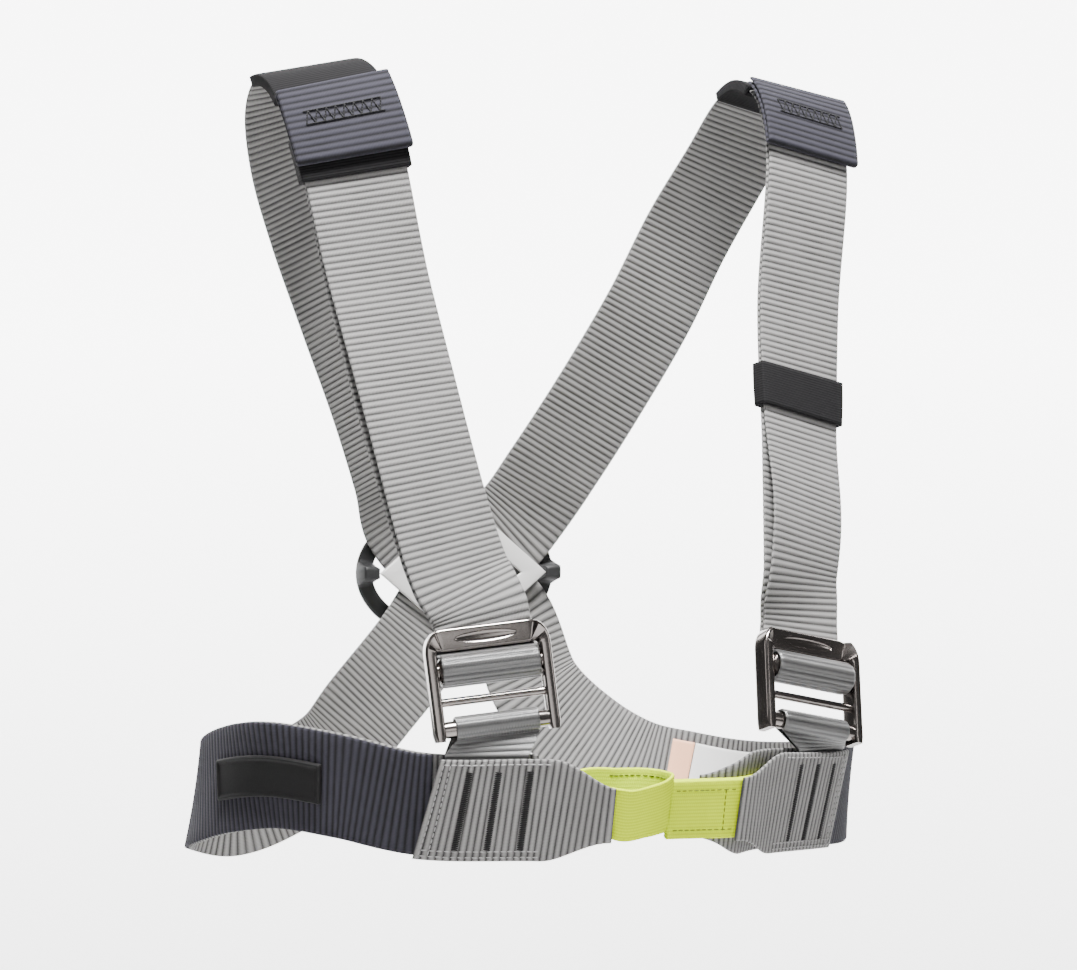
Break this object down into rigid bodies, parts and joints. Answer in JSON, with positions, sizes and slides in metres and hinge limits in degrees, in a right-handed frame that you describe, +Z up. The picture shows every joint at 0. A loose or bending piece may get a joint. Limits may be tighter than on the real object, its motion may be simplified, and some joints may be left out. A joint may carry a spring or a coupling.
{
  "type": "climbing chest harness",
  "caption": "Webbing chest harness with crossed shoulder straps, slider buckles, a back ring, a chest band and bright tie-in loops.",
  "frame": {"origin": "midway between the two shoulders, level with the tops of the shoulder straps", "axes": "+Z up along the wearer's spine, -Y towards the wearer's front, +X towards the wearer's left"},
  "size_m": [0.2934, 0.2086, 0.3378],
  "materials": {
    "grey_webbing": "ribbed webbing, matt",
    "navy_webbing": "ribbed webbing, matt",
    "black_elastic": "woven elastic, matt",
    "lime_webbing": "narrow webbing, matt",
    "buckle_metal": "dark polished",
    "ring_plastic": "matt moulded",
    "plate_plastic": "matt moulded",
    "label_rubber": "matt, bare",
    "label_satin": "smooth satin, bare",
    "label_strip": "smooth satin, bare"
  },
  "bodies": {
    "root": {"shoulder_strap_left": "grey_webbing", "tail_tab_left": "navy_webbing", "crown_keeper_left": "black_elastic", "tail_keeper_left": "black_elastic", "buckle_left": "buckle_metal", "buckle_link_left": "grey_webbing", "chest_band_left": "navy_webbing", "tack_patch_left": "grey_webbing", "tie_in_loop_left": "lime_webbing", "shoulder_strap_right": "grey_webbing", "tail_tab_right": "navy_webbing", "crown_keeper_right": "black_elastic", "tail_keeper_right": "black_elastic", "buckle_right": "buckle_metal", "buckle_link_right": "grey_webbing", "chest_band_right": "navy_webbing", "tack_patch_right": "grey_webbing", "tie_in_loop_right": "lime_webbing", "rubber_label": "label_rubber", "satin_label": "label_satin", "label_strip": "label_strip", "back_ring": "ring_plastic", "cross_plate": "plate_plastic"}
  },
  "joints": []
}
